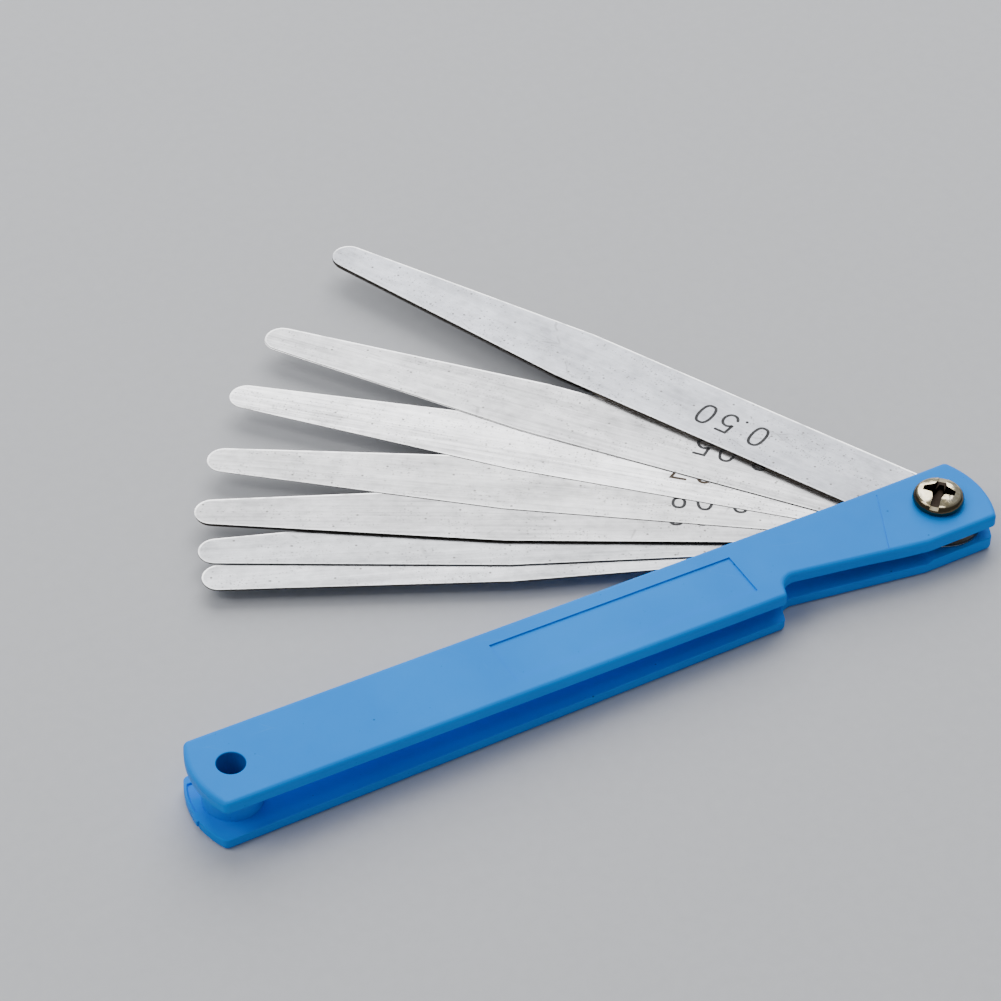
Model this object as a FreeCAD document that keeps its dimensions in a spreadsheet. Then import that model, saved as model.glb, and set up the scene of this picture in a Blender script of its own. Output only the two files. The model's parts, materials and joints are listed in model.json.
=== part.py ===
import FreeCAD
import Part
import math
import os
import re
import Sketcher

# Folding feeler gauge: a moulded two-cheek handle, a clamped screw and sleeve nut as the
# pivot, and thirteen steel leaves that swing out of the handle one by one.
# Frame: pivot axis = Z through the origin, underside of the handle = Z 0, tail of the
# handle towards -X, leaves fan out towards +Y, finger notch on the -Y side.

# Driving dimensions in millimetres and degrees. "Reach" and "along" count from the pivot
# axis towards the tail, "across" counts from the centre line.
DIMENSIONS = {
    # handle outline
    "handle_width": 11.8, "head_reach": 6.3, "tail_reach": 105.65, "end_radius": 12.0,
    "corner_radius": 0.85, "upper_shift": 0.3,
    # handle side view
    "head_height": 5.77, "tail_height": 7.86, "slope_start": 8.6, "slope_end": 104.0,
    "cheek_thickness": 1.7, "pad_thickness": 2.1, "pad_flat_end": 4.2, "pad_ramp_end": 4.9,
    "head_cheek": 1.88, "head_ramp_end": 14.0, "top_bend": 200.0,
    # boss and lanyard hole at the tail
    "lanyard_along": 100.4, "lanyard_diameter": 3.55, "boss_diameter": 7.5,
    "boss_fillet": 0.5, "lanyard_edge": 0.15,
    # injection gate: its stub on the lower cheek's tail and the sunk land beside it
    "gate_width": 1.3, "gate_across": 0.75, "gate_proud": 0.18, "gate_bottom": 0.9,
    "land_rim": 0.45, "land_across": 4.6, "land_inner": 2.4, "land_depth": 0.25,
    # finger notch through both cheeks
    "notch_start": 5.1, "notch_root_along": 25.3, "notch_root_across": 2.6,
    "notch_end": 26.5, "notch_fillet": 2.2, "notch_corner": 0.75,
    # label recess and the mould insert's witness line in the top face
    "label_start": 29.4, "label_end": 63.9, "label_width": 6.8, "label_depth": 0.22,
    "witness_left_along": 6.3, "witness_right_along": 10.5, "witness_across": 4.6,
    "witness_width": 0.16, "witness_depth": 0.06,
    # edges of the moulding
    "outer_edge": 0.65, "inner_edge": 0.15,
    # sleeve nut
    "barrel_diameter": 5.0, "barrel_top": 5.45, "barrel_bore": 4.1, "bore_floor": 1.2,
    "flange_flats": 7.6, "flange_thickness": 0.8, "flange_edge": 0.12,
    "cheek_bore": 5.12, "pocket_flats": 7.7,
    # screw
    "shank_diameter": 4.0, "shank_end": 1.45, "screw_head": 6.65, "screw_side": 1.2,
    "screw_rise": 2.15, "screw_shoulder": 1.1, "screw_under": 0.55, "drive_angle": 44.0,
    "slot_width": 1.15, "slot_depth": 1.1,
    "cross_length": 4.3, "cross_tip": 0.95, "cross_root": 1.65, "cross_corner": 0.35,
    "cross_depth": 1.7, "cross_taper": 12.0,
    # leaves
    "leaf_width": 10.0, "leaf_end": 5.9, "leaf_taper_start": 55.5, "leaf_tip_radius": 2.3,
    "leaf_bore": 5.1, "leaf_gap": 0.01, "stack_clearance": 0.015, "leaf_edge_break": 0.04,
}

# Leaves from the bottom of the stack to the top: name, thickness, angle from the handle
# and reach from the pivot axis to the tip.
LEAVES = [
    ("025", 0.25, 21.8, 94.6), ("020", 0.20, 24.7, 94.9), ("015", 0.15, 28.97, 95.4),
    ("010", 0.10, 28.99, 95.4), ("009", 0.09, 29.0, 95.5), ("008", 0.08, 35.1, 95.0),
    ("007", 0.07, 43.0, 95.0), ("006", 0.06, 50.68, 94.7), ("005", 0.05, 50.8, 94.7),
    ("004", 0.04, 62.68, 94.9), ("003", 0.03, 62.69, 94.9), ("002", 0.02, 62.7, 94.9),
    ("050", 0.50, 62.7, 95.2),
]
EDGE_BREAK_FROM = 0.20      # leaves at least this thick have their edges broken

# How near an edge must be to a known place to be taken for it, in mm.
LEVEL, CLOSE = 0.001, 0.01
HOLE_NEAR = 0.2             # centres of the edges that ring the lanyard hole
BOSS_CLEAR = 4.6            # edges nearer the lanyard hole than this stay sharp
RECESS_NEAR, RECESS_TALL = 0.3, 0.4     # upright inner corners of the cross recess

V = FreeCAD.Vector
UP = V(0, 0, 1)
DOWN = V(0, 0, -1)

doc = FreeCAD.newDocument("feeler_gauge")
sheet = doc.addObject("Spreadsheet::Sheet", "Dimensions")


# ---------------------------------------------------------------- sheet and expressions
def fill_sheet():
    cells = dict(DIMENSIONS)
    for name, thickness, fan, reach in LEAVES:
        cells["thickness_" + name] = thickness
        cells["fan_" + name] = fan
        cells["reach_" + name] = reach
    for row, (alias, number) in enumerate(cells.items(), start=1):
        sheet.set("A%d" % row, alias)
        sheet.set("B%d" % row, str(number))
        sheet.setAlias("B%d" % row, alias)
    doc.recompute()


def linked(expression):
    """The expression with each alias pointing at the sheet."""
    return re.sub(r"\b[a-z]+_\w+", lambda word: "Dimensions." + word.group(), expression)


def value(expression):
    return float(sheet.evalExpression(expression))


def bind(item, prop, expression):
    item.setExpression(prop, linked(expression))


# ---------------------------------------------------------------- sketches
ORIGIN = (-1, 1)            # the sketch's root point, as geometry and point numbers
X_AXIS = -1


def new_body(name):
    body = doc.addObject("PartDesign::Body", name)
    body.Label = name
    return body


def new_sketch(body, name, plane="XY_Plane", lift=None):
    sketch = body.newObject("Sketcher::SketchObject", name)
    support = [item for item in body.Origin.OriginFeatures if item.Role == plane][0]
    sketch.AttachmentSupport = [(support, "")]
    sketch.MapMode = "FlatFace"
    if lift:
        bind(sketch, "AttachmentOffset.Base.z", lift)
    return sketch


def place(sketch, point, x, y=None):
    """Fix a sketch point at the expressions x and y, with every distance positive."""
    for kind, expression in (("DistanceX", x), ("DistanceY", y)):
        if expression is None:
            continue
        number = value(expression)
        ends, size = (ORIGIN + point, expression)
        if number < 0:
            ends, size = (point + ORIGIN, "-(%s)" % expression)
        index = sketch.addConstraint(Sketcher.Constraint(kind, *ends, abs(number)))
        bind(sketch, "Constraints[%d]" % index, size)


def add_circle(sketch, x, y, radius):
    centre = V(value(x), value(y), 0)
    index = sketch.addGeometry(Part.Circle(centre, UP, value(radius)))
    place(sketch, (index, 3), x, y)
    size = sketch.addConstraint(Sketcher.Constraint("Radius", index, value(radius)))
    bind(sketch, "Constraints[%d]" % size, radius)


def add_polygon(sketch, points):
    """A closed polygon; each point is a pair of expressions."""
    spots = [V(value(x), value(y), 0) for x, y in points]
    lines = []
    for spot, after in zip(spots, spots[1:] + spots[:1]):
        lines.append(sketch.addGeometry(Part.LineSegment(spot, after)))
    for line, after in zip(lines, lines[1:] + lines[:1]):
        sketch.addConstraint(Sketcher.Constraint("Coincident", line, 2, after, 1))
    for line, (x, y) in zip(lines, points):
        place(sketch, (line, 1), x, y)


def add_round_end(sketch, centre, radius, start, end):
    """An arc centred on the X axis at the expression centre."""
    circle = Part.Circle(V(value(centre), 0, 0), UP, value(radius))
    arc = sketch.addGeometry(Part.ArcOfCircle(circle, start, end))
    sketch.addConstraint(Sketcher.Constraint("PointOnObject", arc, 3, X_AXIS))
    size = sketch.addConstraint(Sketcher.Constraint("Radius", arc, value(radius)))
    bind(sketch, "Constraints[%d]" % size, radius)
    place(sketch, (arc, 3), centre)
    return arc


# ---------------------------------------------------------------- features
def pad(body, sketch, length):
    feature = body.newObject("PartDesign::Pad", "pad_" + sketch.Name)
    feature.Profile = sketch
    bind(feature, "Length", length)
    doc.recompute()
    return feature


def cut(body, sketch, length=None, both_ways=True, upward=False, taper=None):
    """A pocket; with no length it goes right through. It must remove material."""
    before = body.Shape.Volume
    feature = body.newObject("PartDesign::Pocket", "cut_" + sketch.Name)
    feature.Profile = sketch
    feature.SideType = "Symmetric" if both_ways else "One side"
    feature.Reversed = upward
    feature.Type = "Length" if length else "ThroughAll"
    if length:
        bind(feature, "Length", length)
    if taper:
        bind(feature, "TaperAngle", taper)
    doc.recompute()
    if body.Shape.Volume > before - 0.01:
        raise RuntimeError(feature.Name + " removes nothing")
    return feature


def dress(body, kind, size, wanted):
    """Fillet or chamfer the edges for which wanted(edge) is true."""
    base = body.Tip
    names = ["Edge%d" % number for number, edge in enumerate(base.Shape.Edges, start=1)
             if wanted(edge)]
    feature = body.newObject("PartDesign::" + kind, kind.lower() + "_" + base.Name)
    feature.Base = (base, names)
    bind(feature, "Radius" if kind == "Fillet" else "Size", size)
    doc.recompute()
    if not feature.isValid():
        raise RuntimeError(feature.Name + " fails on %d edges" % len(names))
    return feature


def middle(edge):
    return edge.valueAt((edge.FirstParameter + edge.LastParameter) / 2)


def is_upright(edge):
    box = edge.BoundBox
    return box.XLength < 1e-6 and box.YLength < 1e-6


def is_crosswise(edge):
    box = edge.BoundBox
    return box.XLength < 1e-6 and box.ZLength < 1e-6


def far_from(point, along, radius):
    return math.hypot(point.x + along, point.y) > radius


# ---------------------------------------------------------------- handle
SLOPE = "((tail_height - head_height) / (slope_end - slope_start))"


def top_at(along):
    """Expression for the height of the sloping top face at a distance from the pivot."""
    return "(head_height + %s * (%s - slope_start))" % (SLOPE, along)


PAST_TAIL = "(tail_reach + end_radius)"
CEILING = "(tail_height + 3 * cheek_thickness)"
SPLIT = "(pad_thickness + cheek_thickness / 2)"     # height that parts the two cheeks


def cheek_outline(body, name, shift, lift=None):
    """The outline of one cheek, moved towards the head by the expression shift."""
    sketch = new_sketch(body, name, lift=lift)
    half, radius, round_off = (
        value("handle_width / 2"), value("end_radius"), value("corner_radius"))
    reach = math.sqrt((radius - round_off) ** 2 - (half - round_off) ** 2)
    turn = math.asin((half - round_off) / (radius - round_off))
    quarter = math.pi / 2
    head_centre = "head_reach - end_radius + " + shift
    tail_centre = "end_radius - tail_reach + " + shift
    head_x, tail_x = value(head_centre) + reach, value(tail_centre) - reach

    def corner(x, y, start, end):
        circle = Part.Circle(V(x, y, 0), UP, round_off)
        return sketch.addGeometry(Part.ArcOfCircle(circle, start, end))
    head = add_round_end(sketch, head_centre, "end_radius", -turn, turn)
    head_left = corner(head_x, half - round_off, turn, quarter)
    left = sketch.addGeometry(Part.LineSegment(V(head_x, half, 0), V(tail_x, half, 0)))
    tail_left = corner(tail_x, half - round_off, quarter, math.pi - turn)
    tail = add_round_end(
        sketch, tail_centre, "end_radius", math.pi - turn, math.pi + turn)
    tail_right = corner(tail_x, round_off - half, math.pi + turn, 3 * quarter)
    right = sketch.addGeometry(Part.LineSegment(V(tail_x, -half, 0), V(head_x, -half, 0)))
    head_right = corner(head_x, round_off - half, 3 * quarter, 2 * math.pi - turn)
    chain = [head, head_left, left, tail_left, tail, tail_right, right, head_right]
    for first, second in zip(chain, chain[1:] + chain[:1]):
        sketch.addConstraint(Sketcher.Constraint("Tangent", first, 2, second, 1))
    for arc in (head_left, tail_left, tail_right, head_right):
        size = sketch.addConstraint(Sketcher.Constraint("Radius", arc, round_off))
        bind(sketch, "Constraints[%d]" % size, "corner_radius")
    for line, ends in ((left, ORIGIN + (left, 1)), (right, (right, 1) + ORIGIN)):
        sketch.addConstraint(Sketcher.Constraint("Horizontal", line))
        size = sketch.addConstraint(Sketcher.Constraint("DistanceY", *ends, half))
        bind(sketch, "Constraints[%d]" % size, "handle_width / 2")
    return sketch


def above_top(body):
    """The space over the top face: level above the pivot, a long bend, then the slope."""
    sketch = new_sketch(body, "above_top", "XZ_Plane")
    slope = value(SLOPE)
    bend = value("top_bend")
    bend_x = "(top_bend * %s / 2 - slope_start)" % SLOPE
    level = value("head_height")
    circle = Part.Circle(V(value(bend_x), level + bend, 0), UP, bend)
    down = 1.5 * math.pi
    arc = sketch.addGeometry(Part.ArcOfCircle(circle, down - math.atan(slope), down))
    corners = [("end_radius", "head_height"), ("-" + PAST_TAIL, top_at(PAST_TAIL)),
               ("-" + PAST_TAIL, CEILING), ("end_radius", CEILING)]
    start, tail, tail_top, start_top = [V(value(x), value(y), 0) for x, y in corners]
    bend_start = V(value(bend_x), level, 0)
    bend_end = bend_start + V(-bend * slope, bend * slope ** 2 / 2, 0)
    runs = [(start, bend_start), (bend_end, tail), (tail, tail_top),
            (tail_top, start_top), (start_top, start)]
    first, second, third, fourth, fifth = [
        sketch.addGeometry(Part.LineSegment(*run)) for run in runs]
    sketch.addConstraint(Sketcher.Constraint("Horizontal", first))
    sketch.addConstraint(Sketcher.Constraint("Tangent", first, 2, arc, 2))
    sketch.addConstraint(Sketcher.Constraint("Tangent", arc, 1, second, 1))
    for line, after in ((second, third), (third, fourth), (fourth, fifth), (fifth, first)):
        sketch.addConstraint(Sketcher.Constraint("Coincident", line, 2, after, 1))
    size = sketch.addConstraint(Sketcher.Constraint("Radius", arc, bend))
    bind(sketch, "Constraints[%d]" % size, "top_bend")
    place(sketch, (arc, 3), bend_x)
    for line, (x, y) in zip((first, third, fourth, fifth), corners):
        place(sketch, (line, 1), x, y)
    return sketch


def top_height(x):
    return max(value("head_height"), value(top_at(-x)))


def cut_notch(body):
    """The finger notch on the -Y side."""
    notch = new_sketch(body, "notch")
    add_polygon(notch, [
        ("-notch_start", "-handle_width / 2"), ("-notch_root_along", "-notch_root_across"),
        ("-notch_end", "-handle_width / 2"), ("-notch_end", "-handle_width"),
        ("-notch_start", "-handle_width")])
    cut(body, notch)
    bends = [-value("notch_start"), -value("notch_root_along")]
    dress(body, "Fillet", "notch_fillet", lambda edge: is_upright(edge)
          and min(abs(middle(edge).x - bend) for bend in bends) < CLOSE)
    end = value("notch_end")
    dress(body, "Fillet", "notch_corner", lambda edge: is_upright(edge)
          and abs(middle(edge).x + end) < CLOSE)


def round_outer_edges(body):
    """The outer edges of both cheeks, on the underside and along the top face."""
    def outer(edge):
        point = middle(edge)
        on_top = abs(point.z - top_height(point.x)) < 2 * CLOSE
        return not is_crosswise(edge) and (abs(point.z) < LEVEL or on_top)
    dress(body, "Fillet", "outer_edge", outer)


def cut_slot(body):
    """The slot between the cheeks, beside the pivot pad and the thicker head."""
    slot = new_sketch(body, "slot", "XZ_Plane")
    add_polygon(slot, [
        ("end_radius", "pad_thickness"), ("-pad_flat_end", "pad_thickness"),
        ("-pad_ramp_end", "cheek_thickness"), ("-" + PAST_TAIL, "cheek_thickness"),
        ("-" + PAST_TAIL, top_at(PAST_TAIL) + " - cheek_thickness"),
        ("-head_ramp_end", top_at("head_ramp_end") + " - cheek_thickness"),
        ("-slope_start", "head_height - head_cheek"),
        ("end_radius", "head_height - head_cheek")])
    cut(body, slot)


def cut_land(body):
    """The sunk land inside a narrow rim on the lower cheek's tail, on the +Y side."""
    land = new_sketch(body, "gate_land", lift="cheek_thickness")
    rim_centre = "end_radius - tail_reach"
    rim_radius = "end_radius - land_rim"
    low = math.pi - math.asin(value("land_across / (%s)" % rim_radius))
    arc = add_round_end(land, rim_centre, rim_radius, low, math.pi)
    far_x = value(rim_centre) + value(rim_radius) * math.cos(low)
    inner_x = value("land_inner - tail_reach")
    spots = [V(value(rim_centre) - value(rim_radius), 0, 0), V(inner_x, 0, 0),
             V(inner_x, value("land_across"), 0), V(far_x, value("land_across"), 0)]
    lines = [land.addGeometry(Part.LineSegment(*run)) for run in zip(spots, spots[1:])]
    chain = [arc] + lines
    for first, second in zip(chain, chain[1:] + chain[:1]):
        land.addConstraint(Sketcher.Constraint("Coincident", first, 2, second, 1))
    land.addConstraint(Sketcher.Constraint("PointOnObject", lines[0], 1, X_AXIS))
    place(land, (lines[0], 2), "land_inner - tail_reach", "0")
    place(land, (lines[1], 2), "land_inner - tail_reach", "land_across")
    land.addConstraint(Sketcher.Constraint("Horizontal", lines[2]))
    cut(body, land, "land_depth", both_ways=False)


def round_the_hole(edge):
    return not far_from(edge.BoundBox.Center, value("lanyard_along"), HOLE_NEAR)


def add_boss(body):
    """The boss round the lanyard hole, which joins the cheeks."""
    boss = new_sketch(body, "boss", lift="cheek_thickness / 2")
    add_circle(boss, "-lanyard_along", "0", "boss_diameter / 2")
    pad(body, boss, "tail_height - cheek_thickness")
    across = value("boss_diameter")
    dress(body, "Fillet", "boss_fillet", lambda edge: not is_upright(edge)
          and round_the_hole(edge) and abs(edge.BoundBox.YLength - across) < CLOSE)


def break_inner_edges(body):
    """The cheeks' inner edges: rounded on the lower one, chamfered on the upper one."""
    def inner(edge, low, high):
        point = middle(edge)
        below_top = top_height(point.x) - value("outer_edge") - 10 * CLOSE
        return (not is_upright(edge) and not is_crosswise(edge)
                and low < point.z < min(high, below_top)
                and far_from(point, value("lanyard_along"), BOSS_CLEAR))
    dress(body, "Fillet", "inner_edge",
          lambda edge: inner(edge, value("cheek_thickness") - CLOSE, value(SPLIT)))
    dress(body, "Chamfer", "inner_edge",
          lambda edge: inner(edge, value(SPLIT), value("tail_height")))


def add_gate_stub(body):
    """The stub of the injection gate on the lower cheek's tail."""
    gate = new_sketch(body, "gate", lift="gate_bottom")
    near, far = "-gate_across - gate_width / 2", "-gate_across + gate_width / 2"
    add_polygon(gate, [
        ("-tail_reach - gate_proud", near), ("-tail_reach + cheek_thickness", near),
        ("-tail_reach + cheek_thickness", far), ("-tail_reach - gate_proud", far)])
    pad(body, gate, "cheek_thickness - gate_bottom")


def cut_bores(body):
    """The pivot bore, the lanyard hole and the nut's hexagon pocket."""
    bore = new_sketch(body, "bores")
    add_circle(bore, "0", "0", "cheek_bore / 2")
    add_circle(bore, "-lanyard_along", "0", "lanyard_diameter / 2")
    cut(body, bore)
    across, middle_height = value("lanyard_diameter"), value("tail_height / 2")
    dress(body, "Fillet", "lanyard_edge", lambda edge: round_the_hole(edge)
          and middle(edge).z > middle_height and edge.BoundBox.YLength < across + CLOSE
          and not is_upright(edge))
    hexagon = body.newObject("PartDesign::SubtractivePrism", "hexagon_pocket")
    hexagon.Polygon = 6
    bind(hexagon, "Circumradius", "pocket_flats / sqrt(3)")
    bind(hexagon, "Height", "flange_thickness")


def cut_label(body):
    """The label recess, its floor parallel to the top face."""
    label = new_sketch(body, "label_recess", "XZ_Plane")
    add_polygon(label, [
        ("-label_start", top_at("label_start") + " - label_depth"),
        ("-label_start", CEILING), ("-label_end", CEILING),
        ("-label_end", top_at("label_end") + " - label_depth")])
    cut(body, label, "label_width")


def cut_witness(body):
    """The mould insert's witness line over the head, a shallow slanting groove."""
    witness = new_sketch(body, "witness", lift="head_height - witness_depth")
    add_polygon(witness, [
        ("-witness_left_along", "witness_across"),
        ("-witness_left_along - witness_width", "witness_across"),
        ("-witness_right_along - witness_width", "-witness_across"),
        ("-witness_right_along", "-witness_across")])
    cut(body, witness, both_ways=False, upward=True)


def make_handle():
    body = new_body("handle")
    pad(body, cheek_outline(body, "lower_cheek", "0"), SPLIT)
    pad(body, cheek_outline(body, "upper_cheek", "upper_shift", SPLIT), "tail_height")
    cut(body, above_top(body))
    for step in (cut_notch, round_outer_edges, cut_slot, cut_land, add_boss,
                 break_inner_edges, add_gate_stub, cut_bores, cut_label, cut_witness):
        step(body)
    return body


# ---------------------------------------------------------------- sleeve nut
def make_nut():
    body = new_body("pivot_nut")
    flange = body.newObject("PartDesign::AdditivePrism", "flange")
    flange.Polygon = 6
    bind(flange, "Circumradius", "flange_flats / sqrt(3)")
    bind(flange, "Height", "flange_thickness")
    doc.recompute()
    dress(body, "Chamfer", "flange_edge", lambda edge: edge.BoundBox.ZMax < LEVEL)
    barrel = new_sketch(body, "barrel", lift="flange_thickness")
    add_circle(barrel, "0", "0", "barrel_diameter / 2")
    pad(body, barrel, "barrel_top - flange_thickness")
    bore = new_sketch(body, "barrel_bore", lift="bore_floor")
    add_circle(bore, "0", "0", "barrel_bore / 2")
    cut(body, bore, "barrel_top", both_ways=False, upward=True)
    return body


# ---------------------------------------------------------------- screw
def screw_profile(body):
    """Half section of the shank and the domed head, on the XZ plane."""
    sketch = new_sketch(body, "screw_profile", "XZ_Plane")
    seat = "head_height"
    rim = "head_height + screw_side"
    crown = "head_height + screw_rise"
    corners = [("0", "shank_end"), ("shank_diameter / 2", "shank_end"),
               ("shank_diameter / 2", seat), ("screw_head / 2", seat),
               ("screw_head / 2", rim), ("0", crown)]
    spots = [V(value(x), value(y), 0) for x, y in corners]
    half = value("screw_head / 2")
    rise = value("screw_rise - screw_side")
    dome = (half ** 2 + rise ** 2) / (2 * rise)
    turn = math.asin(half / dome)
    circle = Part.Circle(V(0, value(crown) - dome, 0), UP, dome)
    for spot, after in zip(spots[:4], spots[1:5]):
        sketch.addGeometry(Part.LineSegment(spot, after))
    arc = sketch.addGeometry(Part.ArcOfCircle(circle, math.pi / 2 - turn, math.pi / 2))
    axis = sketch.addGeometry(Part.LineSegment(spots[5], spots[0]))
    ends = [(0, 2, 1, 1), (1, 2, 2, 1), (2, 2, 3, 1), (3, 2, arc, 1), (arc, 2, axis, 1),
            (axis, 2, 0, 1)]
    for pair in ends:
        sketch.addConstraint(Sketcher.Constraint("Coincident", *pair))
    sketch.addConstraint(Sketcher.Constraint("PointOnObject", arc, 3, -2))
    for line, (x, y) in enumerate(corners[:4]):
        place(sketch, (line, 1), x, y)
    place(sketch, (arc, 1), *corners[4])
    place(sketch, (axis, 1), *corners[5])
    return sketch


def make_screw():
    body = new_body("pivot_screw")
    sketch = screw_profile(body)
    turned = body.newObject("PartDesign::Revolution", "turned")
    turned.Profile = sketch
    turned.ReferenceAxis = (sketch, ["V_Axis"])
    turned.Angle = 360
    doc.recompute()
    top = "head_height + screw_rise"
    rim = value("head_height + screw_side")
    dress(body, "Fillet", "screw_shoulder",
          lambda edge: abs(middle(edge).z - rim) < LEVEL and edge.BoundBox.ZLength < LEVEL)
    seat = value("head_height")
    shank = value("shank_diameter")
    dress(body, "Fillet", "screw_under", lambda edge: abs(edge.BoundBox.ZMax - seat) < LEVEL
          and edge.BoundBox.ZLength < LEVEL and edge.BoundBox.XLength > shank + CLOSE)
    slot = new_sketch(body, "driver_slot", lift=top)
    length = "screw_head"
    add_polygon(slot, [
        ("-" + length, "-slot_width / 2"), (length, "-slot_width / 2"),
        (length, "slot_width / 2"), ("-" + length, "slot_width / 2")])
    cut(body, slot, "slot_depth", both_ways=False)
    cross = new_sketch(body, "driver_cross", lift=top)
    far, tip, root = "cross_length / 2", "cross_tip / 2", "cross_root / 2"
    quadrant = [(far, tip), (root, root), (tip, far)]
    turns = [("%s", "%s", False), ("-%s", "%s", True), ("-%s", "-%s", False),
             ("%s", "-%s", True)]
    points = []
    for x_sign, y_sign, backwards in turns:
        corner = quadrant[::-1] if backwards else quadrant
        points += [(x_sign % x, y_sign % y) for x, y in corner]
    add_polygon(cross, points)
    cut(body, cross, "cross_depth", both_ways=False, taper="-cross_taper")
    corner = value("cross_root / 2")

    def inner_corner(edge):
        sides = (middle(edge).x, middle(edge).y)
        return (edge.BoundBox.ZLength > RECESS_TALL
                and all(abs(abs(side) - corner) < RECESS_NEAR for side in sides))
    dress(body, "Fillet", "cross_corner", inner_corner)
    body.Placement = FreeCAD.Placement(V(0, 0, 0), FreeCAD.Rotation(UP, 1))
    bind(body, "Placement.Rotation.Angle", "drive_angle")
    return body


# ---------------------------------------------------------------- leaves
def leaf_outline(body, name):
    sketch = new_sketch(body, "outline_" + name)
    half = value("leaf_width / 2")
    tip = value("leaf_tip_radius")
    tip_centre = "leaf_tip_radius - reach_" + name
    end_centre = "leaf_end - leaf_width / 2"
    tip_x, end_x = value(tip_centre), value(end_centre)
    shoulder = -value("leaf_taper_start")
    quarter = math.pi / 2
    head = add_round_end(sketch, end_centre, "leaf_width / 2", -quarter, quarter)
    end = add_round_end(sketch, tip_centre, "leaf_tip_radius", quarter, 3 * quarter)

    def line(start, finish):
        return sketch.addGeometry(Part.LineSegment(V(*start, 0), V(*finish, 0)))
    left = line((end_x, half), (shoulder, half))
    left_taper = line((shoulder, half), (tip_x, tip))
    right_taper = line((tip_x, -tip), (shoulder, -half))
    right = line((shoulder, -half), (end_x, -half))
    for pair in ((left, 2, left_taper, 1), (right_taper, 2, right, 1)):
        sketch.addConstraint(Sketcher.Constraint("Coincident", *pair))
    for pair in ((head, 2, left, 1), (left_taper, 2, end, 1), (end, 2, right_taper, 1),
                 (right, 2, head, 1)):
        sketch.addConstraint(Sketcher.Constraint("Tangent", *pair))
    for side, ends in ((left, (left, 2)), (right, (right, 1))):
        sketch.addConstraint(Sketcher.Constraint("Horizontal", side))
        size = sketch.addConstraint(
            Sketcher.Constraint("DistanceX", *ends, *ORIGIN, -shoulder))
        bind(sketch, "Constraints[%d]" % size, "leaf_taper_start")
    add_circle(sketch, "0", "0", "leaf_bore / 2")
    return sketch


def make_leaf(name, thickness, lift):
    body = new_body("blade_" + name)
    pad(body, leaf_outline(body, name), "thickness_" + name)
    if thickness >= EDGE_BREAK_FROM:
        bore = value("leaf_bore / 2")
        dress(body, "Chamfer", "leaf_edge_break", lambda edge: not is_upright(edge)
              and far_from(middle(edge), 0, bore + CLOSE))
    body.Placement = FreeCAD.Placement(V(0, 0, 0), FreeCAD.Rotation(DOWN, 1))
    bind(body, "Placement.Rotation.Angle", "fan_" + name)
    bind(body, "Placement.Base.z", lift)
    return body


def make_stack():
    leaves = []
    lift = "pad_thickness + stack_clearance"
    for name, thickness, _, _ in LEAVES:
        leaves.append(make_leaf(name, thickness, lift))
        lift += " + thickness_%s + leaf_gap" % name
    return leaves


# ---------------------------------------------------------------- build, check and write
fill_sheet()
pieces = [make_handle(), make_screw(), make_nut()] + make_stack()
doc.recompute()

for item in doc.Objects:
    if "Invalid" in item.State or "Error" in item.State:
        raise RuntimeError(item.Name + " failed to recompute")
os.makedirs("parts", exist_ok=True)
for piece in pieces:
    if piece.Shape.isNull() or not piece.Shape.isValid() or len(piece.Shape.Solids) != 1:
        raise RuntimeError(piece.Label + " has no valid single solid")
for piece in pieces:
    piece.Shape.exportStep("parts/%s.step" % piece.Label)
    box = piece.Shape.BoundBox
    print("%-12s %9.3f mm3  X %8.2f %8.2f  Y %7.2f %7.2f  Z %6.3f %6.3f" % (
        piece.Label, piece.Shape.Volume, box.XMin, box.XMax, box.YMin, box.YMax,
        box.ZMin, box.ZMax))
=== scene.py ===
import json
import math

import bpy
from mathutils import Matrix, Vector


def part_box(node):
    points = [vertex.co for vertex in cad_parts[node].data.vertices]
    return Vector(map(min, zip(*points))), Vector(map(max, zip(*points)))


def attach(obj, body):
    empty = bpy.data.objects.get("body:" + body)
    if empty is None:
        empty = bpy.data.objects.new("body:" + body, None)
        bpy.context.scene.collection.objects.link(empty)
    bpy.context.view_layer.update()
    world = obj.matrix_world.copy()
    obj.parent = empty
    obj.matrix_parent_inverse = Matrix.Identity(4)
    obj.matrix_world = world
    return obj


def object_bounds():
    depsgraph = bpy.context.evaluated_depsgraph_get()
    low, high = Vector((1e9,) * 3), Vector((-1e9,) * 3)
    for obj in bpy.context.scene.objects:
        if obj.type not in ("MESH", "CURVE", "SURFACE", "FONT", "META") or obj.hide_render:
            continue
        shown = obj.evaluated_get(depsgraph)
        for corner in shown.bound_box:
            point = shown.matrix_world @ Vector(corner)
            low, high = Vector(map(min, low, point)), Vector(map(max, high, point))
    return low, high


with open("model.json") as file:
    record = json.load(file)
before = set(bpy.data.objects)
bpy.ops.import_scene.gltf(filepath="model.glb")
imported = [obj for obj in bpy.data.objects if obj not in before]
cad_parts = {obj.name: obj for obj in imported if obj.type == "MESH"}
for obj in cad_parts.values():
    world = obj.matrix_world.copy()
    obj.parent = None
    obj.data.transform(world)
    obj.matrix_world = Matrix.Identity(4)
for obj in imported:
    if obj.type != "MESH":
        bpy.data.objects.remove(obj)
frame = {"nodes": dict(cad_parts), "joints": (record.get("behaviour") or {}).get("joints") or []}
cad_low, cad_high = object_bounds()
MM = 0.001

# ---------------------------------------------------------------- camera
CAMERA_AZIMUTH = -29.432       # degrees; 0 looks along +Y
CAMERA_ELEVATION = 42.598
CAMERA_ROLL = 0.707
CAMERA_DISTANCE = 459.26 * MM
CAMERA_LENS = 126.57           # mm on a 36 mm sensor
AIM_FROM_PIVOT = Vector((-46.28, 32.18, 0.0)) * MM


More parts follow.
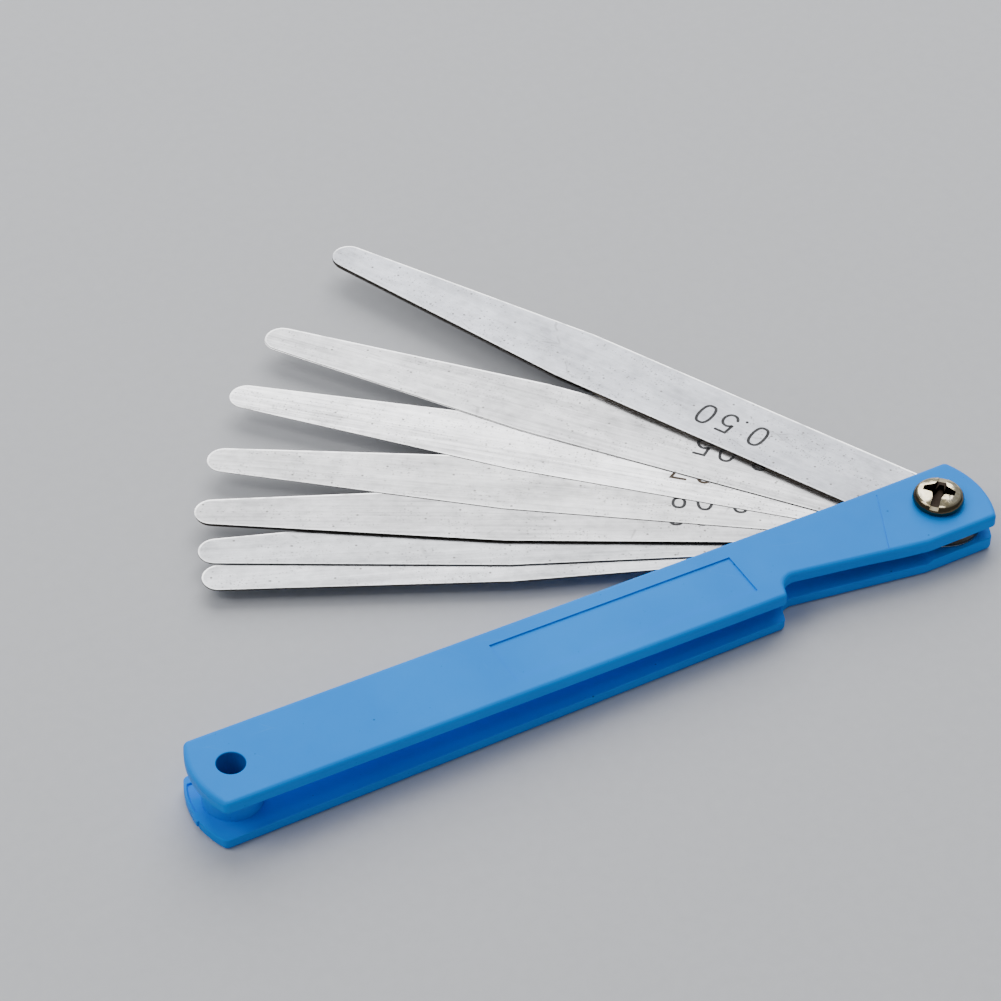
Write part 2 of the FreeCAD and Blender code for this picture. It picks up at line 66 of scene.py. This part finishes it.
def make_camera():
    """A camera that looks at the aim point, turned a little about its own axis."""
    azimuth, elevation = math.radians(CAMERA_AZIMUTH), math.radians(CAMERA_ELEVATION)
    back = Vector((math.sin(azimuth) * math.cos(elevation),
                   -math.cos(azimuth) * math.cos(elevation), math.sin(elevation)))
    right = Vector((math.cos(azimuth), math.sin(azimuth), 0))
    up = back.cross(right)
    turn = Matrix((right, up, back)).transposed()
    roll = Matrix.Rotation(math.radians(CAMERA_ROLL), 3, "Z")
    data = bpy.data.cameras.new("camera")
    data.sensor_width = 36
    data.lens = CAMERA_LENS
    data.clip_start = 0.01
    data.clip_end = 20
    camera = bpy.data.objects.new("camera", data)
    camera.matrix_world = (Matrix.Translation(AIM_FROM_PIVOT + back * CAMERA_DISTANCE)
                           @ (turn @ roll).to_4x4())
    bpy.context.collection.objects.link(camera)
    bpy.context.scene.camera = camera


# ---------------------------------------------------------------- node helpers
class Nodes:
    """A short way to write a material's node tree."""

    def __init__(self, name):
        self.material = bpy.data.materials.new(name)
        self.material.use_nodes = True
        self.tree = self.material.node_tree
        self.tree.nodes.clear()
        self.shader = self.add("ShaderNodeBsdfPrincipled")
        output = self.add("ShaderNodeOutputMaterial")
        self.link(self.shader.outputs["BSDF"], output.inputs["Surface"])

    def add(self, kind, **settings):
        node = self.tree.nodes.new(kind)
        for key, value in settings.items():
            setattr(node, key, value)
        return node

    def link(self, source, target):
        self.tree.links.new(source, target)

    def feed(self, target, value):
        if hasattr(value, "links"):
            self.link(value, target)
        else:
            target.default_value = value

    def math(self, operation, first, second=0.0, third=0.0):
        node = self.add("ShaderNodeMath", operation=operation)
        for socket, value in zip(node.inputs, (first, second, third)):
            self.feed(socket, value)
        return node.outputs[0]

    def mix(self, factor, first, second):
        node = self.add("ShaderNodeMix", data_type="RGBA")
        self.feed(node.inputs[0], factor)
        self.feed(node.inputs[6], first)
        self.feed(node.inputs[7], second)
        return node.outputs[2]

    def coords(self, scale=(1, 1, 1), turn=0.0, shift=(0, 0, 0)):
        """Object coordinates in millimetres, turned about Z, moved, then scaled."""
        here = self.add("ShaderNodeTexCoord").outputs["Object"]
        turned = self.add("ShaderNodeMapping")
        turned.inputs["Rotation"].default_value = (0, 0, turn)
        turned.inputs["Scale"].default_value = (1000, 1000, 1000)
        self.link(here, turned.inputs["Vector"])
        placed = self.add("ShaderNodeMapping")
        placed.inputs["Location"].default_value = shift
        placed.inputs["Scale"].default_value = scale
        self.link(turned.outputs[0], placed.inputs["Vector"])
        return placed.outputs[0]

    def noise(self, vector, scale, detail=4.0, rough=0.5):
        node = self.add("ShaderNodeTexNoise")
        self.link(vector, node.inputs["Vector"])
        node.inputs["Scale"].default_value = scale
        node.inputs["Detail"].default_value = detail
        node.inputs["Roughness"].default_value = rough
        return node.outputs["Fac"]

    def ramp(self, value, low, high, to_low=0.0, to_high=1.0):
        node = self.add("ShaderNodeMapRange", clamp=True)
        self.feed(node.inputs["Value"], value)
        for name, number in (("From Min", low), ("From Max", high),
                             ("To Min", to_low), ("To Max", to_high)):
            node.inputs[name].default_value = number
        return node.outputs[0]

    def split(self, vector):
        """The three parts of a vector."""
        node = self.add("ShaderNodeSeparateXYZ")
        self.link(vector, node.inputs[0])
        return node.outputs[0], node.outputs[1], node.outputs[2]

    def scaled(self, tone, factor):
        """A colour times a number."""
        node = self.add("ShaderNodeVectorMath", operation="SCALE")
        node.inputs[0].default_value = tone
        self.link(factor, node.inputs["Scale"])
        return node.outputs[0]

    def spots(self, vector, scale, inner, outer, share, dimensions="3D"):
        """Round specks in a share of the cells of a random pattern."""
        cells = self.add("ShaderNodeTexVoronoi", feature="F1", voronoi_dimensions=dimensions)
        self.link(vector, cells.inputs["Vector"])
        cells.inputs["Scale"].default_value = scale
        chance = self.split(cells.outputs["Color"])[0]
        kept = self.math("LESS_THAN", chance, share)
        return self.math("MULTIPLY", self.ramp(cells.outputs["Distance"], inner, outer, 1, 0),
                         kept)

    def lines(self, vector, scale, width, bend):
        """Thin curved lines: the bent borders of a random pattern."""
        swirl = self.add("ShaderNodeTexNoise")
        self.link(vector, swirl.inputs["Vector"])
        swirl.inputs["Scale"].default_value = scale * 1.3
        swirl.inputs["Detail"].default_value = 2
        moved = self.add("ShaderNodeVectorMath", operation="MULTIPLY_ADD")
        self.link(swirl.outputs["Color"], moved.inputs[0])
        moved.inputs[1].default_value = (bend / scale, bend / scale, 0)
        self.link(vector, moved.inputs[2])
        cells = self.add("ShaderNodeTexVoronoi", feature="DISTANCE_TO_EDGE")
        self.link(moved.outputs[0], cells.inputs["Vector"])
        cells.inputs["Scale"].default_value = scale
        return self.ramp(cells.outputs["Distance"], width * 0.4, width, 1, 0)

    def bump(self, height, distance):
        node = self.add("ShaderNodeBump")
        node.inputs["Strength"].default_value = 0.5
        node.inputs["Distance"].default_value = distance
        self.link(height, node.inputs["Height"])
        return node.outputs["Normal"]


def colour(red, green, blue):
    """An sRGB colour, 0 to 255, as a linear RGBA."""
    def linear(value):
        value /= 255
        return value / 12.92 if value <= 0.04045 else ((value + 0.055) / 1.055) ** 2.4
    return (linear(red), linear(green), linear(blue), 1.0)


# ---------------------------------------------------------------- materials
PLASTIC_DEEP = (0.0, 0.245, 0.85, 1)
PLASTIC_LIGHT = (0.0, 0.285, 0.93, 1)
PLASTIC_PALE = (0.12, 0.50, 0.98, 1)
PLASTIC_SPECK = (0.0, 0.07, 0.24, 1)
# painted shade for the inside of the lanyard hole
PLASTIC_HOLE_SHADE = (0.0, 0.13, 0.50, 1)
PLASTIC_SHEEN = (0.10, 0.45, 1.0, 1)        # the tint of its reflections
HOLE_ALONG, HOLE_RADIUS = 100.4, 1.775      # the lanyard hole in the tail, mm


def plastic_material():
    """Blue moulded plastic with faint flow clouds, dust specks, a few fine scuffs and painted
    shade in the lanyard opening.
    """
    nodes = Nodes("handle_plastic")
    here = nodes.coords()
    cloud = nodes.noise(here, 0.05, 3)
    base = nodes.mix(nodes.ramp(cloud, 0.35, 0.65), PLASTIC_DEEP, PLASTIC_LIGHT)
    scuff = nodes.lines(nodes.coords((0.35, 1, 1), 0.5), 0.12, 0.008, 0.5)
    scuff = nodes.math("MULTIPLY", scuff, nodes.ramp(nodes.noise(here, 0.12, 2), 0.58, 0.64))
    base = nodes.mix(nodes.math("MULTIPLY", scuff, 0.08), base, PLASTIC_PALE)
    dust = nodes.spots(here, 0.4, 0.03, 0.065, 0.3)
    grit = nodes.spots(here, 1.3, 0.06, 0.12, 0.10)
    specks = nodes.math("MAXIMUM", nodes.math("MULTIPLY", dust, 0.7),
                        nodes.math("MULTIPLY", grit, 0.35))
    base = nodes.mix(specks, base, PLASTIC_SPECK)
    # Painted shade: the base colour turns darker inside the lanyard hole.
    x, y, _ = nodes.split(here)
    off = nodes.math("ADD", x, HOLE_ALONG)
    square = nodes.math("MULTIPLY_ADD", off, off, nodes.math("MULTIPLY", y, y))
    hole_shade = nodes.ramp(nodes.math("SQRT", square), HOLE_RADIUS + 0.02, HOLE_RADIUS + 0.05, 1, 0)
    base = nodes.mix(hole_shade, base, PLASTIC_HOLE_SHADE)
    nodes.link(base, nodes.shader.inputs["Base Color"])
    rough = nodes.ramp(nodes.noise(here, 0.5, 4), 0.3, 0.7, 0.44, 0.52)
    nodes.link(rough, nodes.shader.inputs["Roughness"])
    nodes.shader.inputs["Specular IOR Level"].default_value = 0.14
    nodes.shader.inputs["Specular Tint"].default_value = PLASTIC_SHEEN
    grain = nodes.noise(here, 6.0, 5, 0.6)
    nodes.link(nodes.bump(grain, 0.02 * MM), nodes.shader.inputs["Normal"])
    return nodes.material


# Each leaf's face: its reflectance, how strong its lengthwise streaks are, and how pitted.
FINISHES = {
    "050": ((0.40, 0.412, 0.448), 0.22, 0.60), "005": ((0.50, 0.50, 0.512), 0.55, 0.55),
    "006": ((0.44, 0.44, 0.45), 0.5, 0.5), "007": ((0.70, 0.697, 0.71), 0.8, 0.75),
    "008": ((0.505, 0.505, 0.512), 0.5, 0.45), "015": ((0.455, 0.455, 0.47), 0.5, 0.45),
    "020": ((0.40, 0.408, 0.425), 0.45, 0.6), "025": ((0.46, 0.468, 0.488), 0.4, 0.5),
}
PLAIN_FINISH = ((0.43, 0.43, 0.44), 0.5, 0.5)
STEEL_PIT = (0.085, 0.08, 0.075, 1)
# the painted highlight along a leaf's outline
STEEL_RIM_HIGHLIGHT = (1.0, 1.0, 1.0, 1)
STEEL_SIDE_SHADE = (0.045, 0.038, 0.03, 1)    # painted shade on the side faces of a leaf
STEEL_END_HIGHLIGHT = (0.62, 0.58, 0.52, 1)       # a painted highlight on the side faces round the pivot end of the lowest leaf
LOWEST_LEAF = "025"
LEAF_HALF_WIDTH, LEAF_TAPER_START, LEAF_TIP_RADIUS = 5.0, 55.5, 2.3


def rim_distance(nodes, along, across, reach):
    """How far a point on the leaf's face is inside the leaf's outline, in millimetres."""
    tip = reach - LEAF_TIP_RADIUS
    narrowing = (LEAF_HALF_WIDTH - LEAF_TIP_RADIUS) / (tip - LEAF_TAPER_START)
    side = nodes.math("SUBTRACT", LEAF_HALF_WIDTH, across)
    past = nodes.math("SUBTRACT", along, LEAF_TAPER_START)
    taper = nodes.math("MULTIPLY_ADD", past, -narrowing, side)
    body = nodes.math("MINIMUM", side, taper)
    beyond = nodes.math("SUBTRACT", along, tip)
    square = nodes.math("MULTIPLY", across, across)
    square = nodes.math("MULTIPLY_ADD", beyond, beyond, square)
    rounded = nodes.math("SUBTRACT", LEAF_TIP_RADIUS, nodes.math("SQRT", square))
    at_tip = nodes.math("GREATER_THAN", beyond, 0.0)
    change = nodes.math("SUBTRACT", rounded, body)
    return nodes.math("MULTIPLY_ADD", at_tip, change, body)


def leaf_shade(nodes, spread, plain, hair, streak, streak_share, along):
    """How much lighter or darker than its tone the steel is, around 1."""
    layers = (
        (streak, 0.3, 0.7, 0.40 * streak_share),
        (hair, 0.3, 0.7, 0.26 * streak_share),
        (nodes.noise(plain, 0.09, 5, 0.55), 0.35, 0.65, 0.14),
        (nodes.noise(spread(0.05, 0.3, 80), 1.0, 3, 0.5), 0.35, 0.65, 0.13),
        (nodes.noise(spread(0.8, 1.1, 120), 0.7, 5, 0.65), 0.3, 0.7, 0.16),
    )
    shade = 1.0
    for pattern, low, high, amount in layers:
        shade = nodes.math("MULTIPLY_ADD", nodes.ramp(pattern, low, high, -1, 1), amount, shade)
    return nodes.math("MULTIPLY", shade, nodes.ramp(along, 12, 45, 0.86, 1.0))


def leaf_marks(nodes, spread, plain, pit_share, along):
    """Pits, thickest towards the pivot, lone specks and thin scratches, from 0 to 1."""
    near_pivot = nodes.ramp(along, 0, 60, 1.0, 0.65)
    patch = nodes.ramp(nodes.noise(spread(0.35, 0.8, 20), 0.35, 3, 0.6),
                       0.53 - 0.10 * pit_share, 0.58 - 0.10 * pit_share)
    coarse = nodes.spots(plain, 1.0, 0.08, 0.17, 0.4, "2D")
    fine = nodes.spots(spread(1.3, 1.3, 50), 1.6, 0.10, 0.22, 0.35, "2D")
    pits = nodes.math("MULTIPLY", nodes.math("MAXIMUM", coarse, fine), patch)
    pits = nodes.math("MULTIPLY", pits, near_pivot)
    lone = nodes.spots(spread(1, 1, 30), 0.25, 0.028, 0.05, 0.5, "2D")
    marks = nodes.math("MAXIMUM", nodes.math("MULTIPLY", pits, 0.85),
                       nodes.math("MULTIPLY", lone, 0.8))
    scratch = nodes.math("MULTIPLY", nodes.lines(spread(0.25, 0.9, 60), 0.3, 0.014, 0.25),
                         nodes.ramp(nodes.noise(spread(1, 1, 70), 0.16, 2), 0.60, 0.64))
    return nodes.math("MAXIMUM", marks, nodes.math("MULTIPLY", scratch, 0.35))


def leaf_rim_highlight(nodes, spread, along, y, reach):
    """A painted highlight along the outline, where the steel catches the light; strongest on the
    side away from the handle and weaker on the shaded handle side.
    """
    rim_highlight = nodes.ramp(rim_distance(nodes, along, nodes.math("ABSOLUTE", y), reach),
                     0.12, 0.30, 1.0, 0.0)
    patchy = nodes.ramp(nodes.noise(spread(0.4, 0.4, 90), 1.0, 3), 0.35, 0.5, 0.35, 1.0)
    rim_highlight = nodes.math("MULTIPLY", rim_highlight, nodes.ramp(y, -1, 1, 0.3, 1.0))
    return nodes.math("MULTIPLY", rim_highlight, patchy)


def leaf_material(name, fan, reach, seed):
    """Rolled spring steel with lengthwise streaks, pits and hair scratches, a painted highlight
    along the outline and painted shade on the side faces.
    """
    nodes = Nodes("steel_" + name)
    tone, streak_share, pit_share = FINISHES.get(name, PLAIN_FINISH)
    turn = math.radians(fan)

    def spread(along_scale, across_scale, shift=0.0):
        return nodes.coords((along_scale, across_scale, 1), turn,
                            (seed * 3.1 + shift, seed * 1.7, 0))
    plain = spread(1, 1)
    streak = nodes.noise(spread(0.03, 2.2), 1.0, 5, 0.65)
    hair = nodes.noise(spread(0.12, 9.0, 40), 1.0, 4, 0.7)
    x, y, _ = nodes.split(nodes.coords((1, 1, 1), turn))
    along = nodes.math("MULTIPLY", x, -1.0)

    shade = leaf_shade(nodes, spread, plain, hair, streak, streak_share, along)
    base = nodes.scaled(tone, nodes.math("MINIMUM", shade, 1 / max(tone)))
    marks = leaf_marks(nodes, spread, plain, pit_share, along)
    base = nodes.mix(marks, base, STEEL_PIT)
    # Painted highlight along the outline, stronger away from the handle.
    base = nodes.mix(leaf_rim_highlight(nodes, spread, along, y, reach), base, STEEL_RIM_HIGHLIGHT)

    # Painted shade on the side faces, with a painted highlight round the pivot end of the lowest
    # leaf.
    upright = nodes.split(nodes.add("ShaderNodeTexCoord").outputs["Normal"])[2]
    flat = nodes.ramp(nodes.math("ABSOLUTE", upright), 0.2, 0.6)
    end_highlight = nodes.math("MULTIPLY", nodes.ramp(along, 4.0, 2.0),
                        0.9 if name == LOWEST_LEAF else 0.03)
    side_shade = nodes.mix(end_highlight, STEEL_SIDE_SHADE, STEEL_END_HIGHLIGHT)
    base = nodes.mix(flat, side_shade, base)
    nodes.link(base, nodes.shader.inputs["Base Color"])
    nodes.shader.inputs["Metallic"].default_value = 1.0
    nodes.link(nodes.ramp(hair, 0.3, 0.7, 0.22, 0.36), nodes.shader.inputs["Roughness"])
    height = nodes.math("MULTIPLY_ADD", hair, 0.5, streak)
    nodes.link(nodes.bump(height, 0.01 * MM), nodes.shader.inputs["Normal"])
    return nodes.material


CROWN, DOME_RADIUS = 7.92, 6.3      # height and curvature of the screw head, mm
SCREW_DULL = (0.70, 0.58, 0.34, 1)
SCREW_BRIGHT = (1.0, 0.90, 0.66, 1)
# painted shade for the steep sides of the head
SCREW_SIDE_SHADE = (0.11, 0.085, 0.05, 1)
# painted shade for the drive recess and the slot floor
SCREW_RECESS_SHADE = (0.02, 0.014, 0.01, 1)
NUT_DULL = (0.34, 0.33, 0.30, 1)
NUT_BRIGHT = (0.60, 0.58, 0.54, 1)


def screw_material():
    """Yellowish nickel plating, dull down in the drive recess, with painted shade in the recess
    and on the steep sides of the head.
    """
    nodes = Nodes("screw_plating")
    here = nodes.coords()
    x, y, z = nodes.split(here)
    square = nodes.math("MULTIPLY_ADD", y, y, nodes.math("MULTIPLY", x, x))
    dome = nodes.math("MULTIPLY_ADD", square, -1 / (2 * DOME_RADIUS), CROWN)
    depth = nodes.math("SUBTRACT", dome, z)
    # Painted shade down in the drive recess and on the slot floor.
    shaded_recess = nodes.math("MULTIPLY", nodes.ramp(depth, 0.12, 0.5), nodes.ramp(square, 6.9, 6.0))
    cloud = nodes.noise(here, 0.9, 5, 0.6)
    base = nodes.mix(nodes.ramp(cloud, 0.35, 0.65), SCREW_DULL, SCREW_BRIGHT)
    upright = nodes.split(nodes.add("ShaderNodeTexCoord").outputs["Normal"])[2]
    # Painted shade on the steep sides of the head, in place of the dark reflections they show.
    base = nodes.mix(nodes.ramp(upright, 0.72, 0.93), SCREW_SIDE_SHADE, base)
    slot_floor_shade = nodes.math("MULTIPLY", nodes.ramp(upright, 0.975, 0.99),
                            nodes.ramp(square, 2.0, 2.8))
    shaded_recess = nodes.math("MAXIMUM", shaded_recess, nodes.math("MULTIPLY", slot_floor_shade, 0.8))
    base = nodes.mix(shaded_recess, base, SCREW_RECESS_SHADE)
    nodes.link(base, nodes.shader.inputs["Base Color"])
    nodes.shader.inputs["Metallic"].default_value = 1.0
    rough = nodes.ramp(nodes.noise(here, 2.5, 4), 0.3, 0.7, 0.12, 0.20)
    nodes.link(nodes.math("MULTIPLY_ADD", shaded_recess, 0.3, rough), nodes.shader.inputs["Roughness"])
    waves = nodes.noise(here, 0.6, 2, 0.4)
    nodes.link(nodes.bump(waves, 0.3 * MM), nodes.shader.inputs["Normal"])
    return nodes.material


def nut_material():
    """Dull grey plating."""
    nodes = Nodes("nut_plating")
    here = nodes.coords()
    cloud = nodes.noise(here, 0.8, 4)
    base = nodes.mix(nodes.ramp(cloud, 0.35, 0.7), NUT_DULL, NUT_BRIGHT)
    nodes.link(base, nodes.shader.inputs["Base Color"])
    nodes.shader.inputs["Metallic"].default_value = 1.0
    nodes.link(nodes.ramp(nodes.noise(here, 3.0, 4), 0.3, 0.7, 0.16, 0.30),
               nodes.shader.inputs["Roughness"])
    nodes.link(nodes.bump(nodes.noise(here, 5.0, 3), 0.01 * MM),
               nodes.shader.inputs["Normal"])
    return nodes.material


# The darkest and the most faded tone of a mark.
ETCH_GREY = (0.032, 0.032, 0.035, 1), (0.08, 0.08, 0.082, 1)
ETCH_BROWN = (0.05, 0.032, 0.018, 1), (0.11, 0.08, 0.055, 1)
BROWN_MARK = "007"


def etch_material(name, dark, faded):
    """The dull tone of an etched mark."""
    nodes = Nodes(name)
    fade = nodes.noise(nodes.coords(), 1.5, 4, 0.7)
    nodes.link(nodes.mix(nodes.ramp(fade, 0.40, 0.68), dark, faded),
               nodes.shader.inputs["Base Color"])
    nodes.shader.inputs["Roughness"].default_value = 0.6
    nodes.shader.inputs["Specular IOR Level"].default_value = 0.2
    return nodes.material


def paint(node, material):
    slots = frame["nodes"][node].data.materials
    if not slots:
        slots.append(material)
    for index in range(len(slots)):
        slots[index] = material


# ---------------------------------------------------------------- thickness numerals
ARC_STEPS = 14


def arc(x, y, wide, high, start, end):
    """An open curve round a point, from one angle to another in degrees."""
    turns = [math.radians(start + (end - start) * step / ARC_STEPS)
             for step in range(ARC_STEPS + 1)]
    return [(x + wide * math.cos(turn), y + high * math.sin(turn)) for turn in turns]


def oval(y, wide, high):
    """A closed loop, fuller than an ellipse."""
    points = []
    for degrees in range(0, 360, 10):
        side, rise = math.cos(math.radians(degrees)), math.sin(math.radians(degrees))
        points.append((wide * math.copysign(abs(side) ** 0.72, side),
                       y + high * math.copysign(abs(rise) ** 0.9, rise)))
    return points + points[:1]


# Strokes of each glyph in millimetres, from the baseline up.
GLYPHS = {
    "0": [oval(1.9, 0.93, 1.82)],
    "1": [[(-0.5, 3.0), (0.15, 3.72), (0.15, 0.05)]],
    "2": [arc(0, 2.78, 0.8, 0.95, 165, -35) + [(-0.85, 0.08), (0.9, 0.08)]],
    "3": [arc(0, 2.82, 0.75, 0.9, 150, -90), arc(0, 1.0, 0.85, 0.92, 90, -150)],
    "4": [[(0.45, 0.05), (0.45, 3.72), (-0.85, 1.15), (0.95, 1.15)]],
    "5": [[(0.86, 3.72), (-0.58, 3.72), (-0.76, 2.10)] + arc(0.0, 1.24, 0.95, 1.18, 135, -158)],
    "6": [[(0.45, 3.72), (-0.62, 1.9)], oval(1.12, 0.82, 1.06)],
    "7": [[(-0.95, 3.72), (0.92, 3.72), (-0.25, 0.05)]],
    "8": [oval(2.84, 0.76, 0.88), oval(1.02, 0.92, 0.97)],
    "9": [oval(2.64, 0.82, 1.06), [(0.62, 1.9), (-0.45, 0.05)]],
    ".": [[(0.0, 0.26), (0.0, 0.30)]],
}
GLYPH_MIDDLE = 1.9
GLYPH_STEPS = (0.0, 2.64, 4.65, 8.0)     # where the four glyphs stand, from the first one
STROKE_WIDTH = 0.42
STROKE_PROUD = 0.003        # how far a mark stands above its leaf
STROKE_SUNK = 0.001         # and how far it reaches into it

# How far along its leaf a mark starts, and how far it is offset towards the handle.
MARK_PLACES = {
    "050": (26.4, 0.45), "005": (24.1, -1.3), "007": (25.7, -0.5), "008": (25.1, 0.35),
    "015": (25.2, -0.4), "020": (26.0, 0.3), "025": (24.8, 0.0),
}
PLAIN_PLACE = (25.5, 0.0)


def stroke_sides(points):
    """Pairs of points left and right of a stroke, with round ends unless it is closed."""
    spots = [Vector(point) for point in points]
    closed = points[0] == points[-1]
    if closed:
        spots = spots[:-1]
    half = STROKE_WIDTH / 2
    count = len(spots)
    pairs = []
    for index, spot in enumerate(spots):
        before = spots[index - 1] if closed or index else None
        after = spots[(index + 1) % count] if closed or index + 1 < count else None
        run_in = (spot - before).normalized() if before else (after - spot).normalized()
        run_out = (after - spot).normalized() if after else run_in
        middle = (run_in + run_out).normalized()
        side = Vector((-middle.y, middle.x)) * half / max(0.5, middle.dot(run_out))
        pairs.append((spot + side, spot - side))
        if closed:
            continue
        if index == 0:
            pairs = round_end(spot, -run_out, side)[::-1] + pairs
        elif index == count - 1:
            pairs += round_end(spot, run_in, side)
    if closed:
        pairs.append(pairs[0])
    return pairs


def round_end(spot, outward, side):
    """Pairs of points that round off the end of a stroke."""
    pairs = []
    for degrees in (30, 60, 85):
        turn = math.radians(degrees)
        tip = spot + outward * side.length * math.sin(turn)
        pairs.append((tip + side * math.cos(turn), tip - side * math.cos(turn)))
    return pairs


def add_prism(pairs, place, vertices, faces):
    """A thin closed prism over the pairs of points; place(x, y, z) gives a vertex."""
    first = len(vertices)
    for left, right in pairs:
        for x, y in (left, right):
            vertices.append(place(x, y, STROKE_PROUD))
            vertices.append(place(x, y, -STROKE_SUNK))
    for index in range(len(pairs) - 1):
        a = first + 4 * index
        b = a + 4
        faces += [(a, a + 2, b + 2, b), (a + 1, b + 1, b + 3, a + 3),
                  (a, b, b + 1, a + 1), (a + 2, a + 3, b + 3, b + 2)]
    last = first + 4 * (len(pairs) - 1)
    faces += [(first, first + 1, first + 3, first + 2), (last, last + 2, last + 3, last + 1)]


def towards_tip(fan):
    """The direction in which a leaf points at rest."""
    turn = math.radians(fan)
    return Vector((-math.cos(turn), math.sin(turn), 0))


def mark_leaf(name, node, fan, material):
    """The leaf's thickness in numerals that read from the pivot towards the tip."""
    ahead = towards_tip(fan)
    to_handle = Vector((-ahead.y, ahead.x, 0))
    top = Vector((0, 0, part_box(node)[1].z))
    start, offset = MARK_PLACES.get(name, PLAIN_PLACE)
    vertices, faces = [], []
    for step, glyph in zip(GLYPH_STEPS, name[0] + "." + name[1:]):
        def place(x, y, z):
            return (ahead * (start + step + x) + to_handle * (offset + y - GLYPH_MIDDLE)
                    + Vector((0, 0, z))) * MM + top
        for stroke in GLYPHS[glyph]:
            add_prism(stroke_sides(stroke), place, vertices, faces)
    mesh = bpy.data.meshes.new("mark_" + name)
    mesh.from_pydata(vertices, [], faces)
    mesh.materials.append(material)
    mark = bpy.data.objects.new("mark_" + name, mesh)
    bpy.context.collection.objects.link(mark)
    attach(mark, node)


def leaf_reach(node, fan):
    """Distance in millimetres from the pivot to the leaf's tip."""
    ahead = towards_tip(fan)
    return max(vertex.co.dot(ahead) for vertex in frame["nodes"][node].data.vertices) / MM


def finish_everything():
    paint("handle", plastic_material())
    paint("pivot_screw", screw_material())
    paint("pivot_nut", nut_material())
    grey = etch_material("etched_grey", *ETCH_GREY)
    brown = etch_material("etched_brown", *ETCH_BROWN)
    for seed, joint in enumerate(frame["joints"], start=1):
        node, fan = joint["child"], -joint["range_deg"][0]
        name = node.split("_")[1]
        paint(node, leaf_material(name, fan, leaf_reach(node, fan), seed))
        mark_leaf(name, node, fan, brown if name == BROWN_MARK else grey)


# ---------------------------------------------------------------- stage
FLOOR_REACH = 3.0               # metres from the middle to each side
FLOOR_GAP = 0.02 * MM           # between the object and the floor
FLOOR_DARK, FLOOR_LIGHT = colour(196, 197, 200), colour(204, 205, 208)
WORLD_COLOUR, WORLD_STRENGTH = (0.80, 0.84, 0.90, 1), 0.32
# Name, azimuth from the camera's, elevation, distance and side in metres, and watts.
LIGHTS = (
    ("back_softbox", 180, 45, 1.2, 1.3, 19),
    ("left_softbox", -80, 50, 1.3, 0.7, 6),
    ("front_card", 25, 68, 1.2, 0.25, 0.8),
)


def make_floor():
    mesh = bpy.data.meshes.new("floor")
    corners = [(x * FLOOR_REACH, y * FLOOR_REACH, 0)
               for x, y in ((-1, -1), (1, -1), (1, 1), (-1, 1))]
    mesh.from_pydata(corners, [], [(0, 1, 2, 3)])
    floor = bpy.data.objects.new("floor", mesh)
    floor.location.z = cad_low.z - FLOOR_GAP
    bpy.context.collection.objects.link(floor)
    nodes = Nodes("floor_matt")
    grain = nodes.noise(nodes.coords(), 0.6, 5)
    nodes.link(nodes.mix(grain, FLOOR_DARK, FLOOR_LIGHT), nodes.shader.inputs["Base Color"])
    nodes.shader.inputs["Roughness"].default_value = 0.8
    mesh.materials.append(nodes.material)


def make_light(name, azimuth, elevation, distance, size, power):
    """A square soft light that faces the aim point; its azimuth counts from the camera's."""
    turn, lift = math.radians(CAMERA_AZIMUTH + azimuth), math.radians(elevation)
    away = Vector((math.sin(turn) * math.cos(lift), -math.cos(turn) * math.cos(lift),
                   math.sin(lift)))
    data = bpy.data.lights.new(name, "AREA")
    data.shape = "SQUARE"
    data.size = size
    data.energy = power
    light = bpy.data.objects.new(name, data)
    light.location = AIM_FROM_PIVOT + away * distance
    light.rotation_mode = "QUATERNION"
    light.rotation_quaternion = away.to_track_quat("Z", "Y")
    bpy.context.collection.objects.link(light)


def make_lights():
    world = bpy.data.worlds.new("studio")
    world.use_nodes = True
    background = world.node_tree.nodes["Background"]
    background.inputs["Color"].default_value = WORLD_COLOUR
    background.inputs["Strength"].default_value = WORLD_STRENGTH
    bpy.context.scene.world = world
    for light in LIGHTS:
        make_light(*light)


make_camera()
finish_everything()
make_floor()
make_lights()
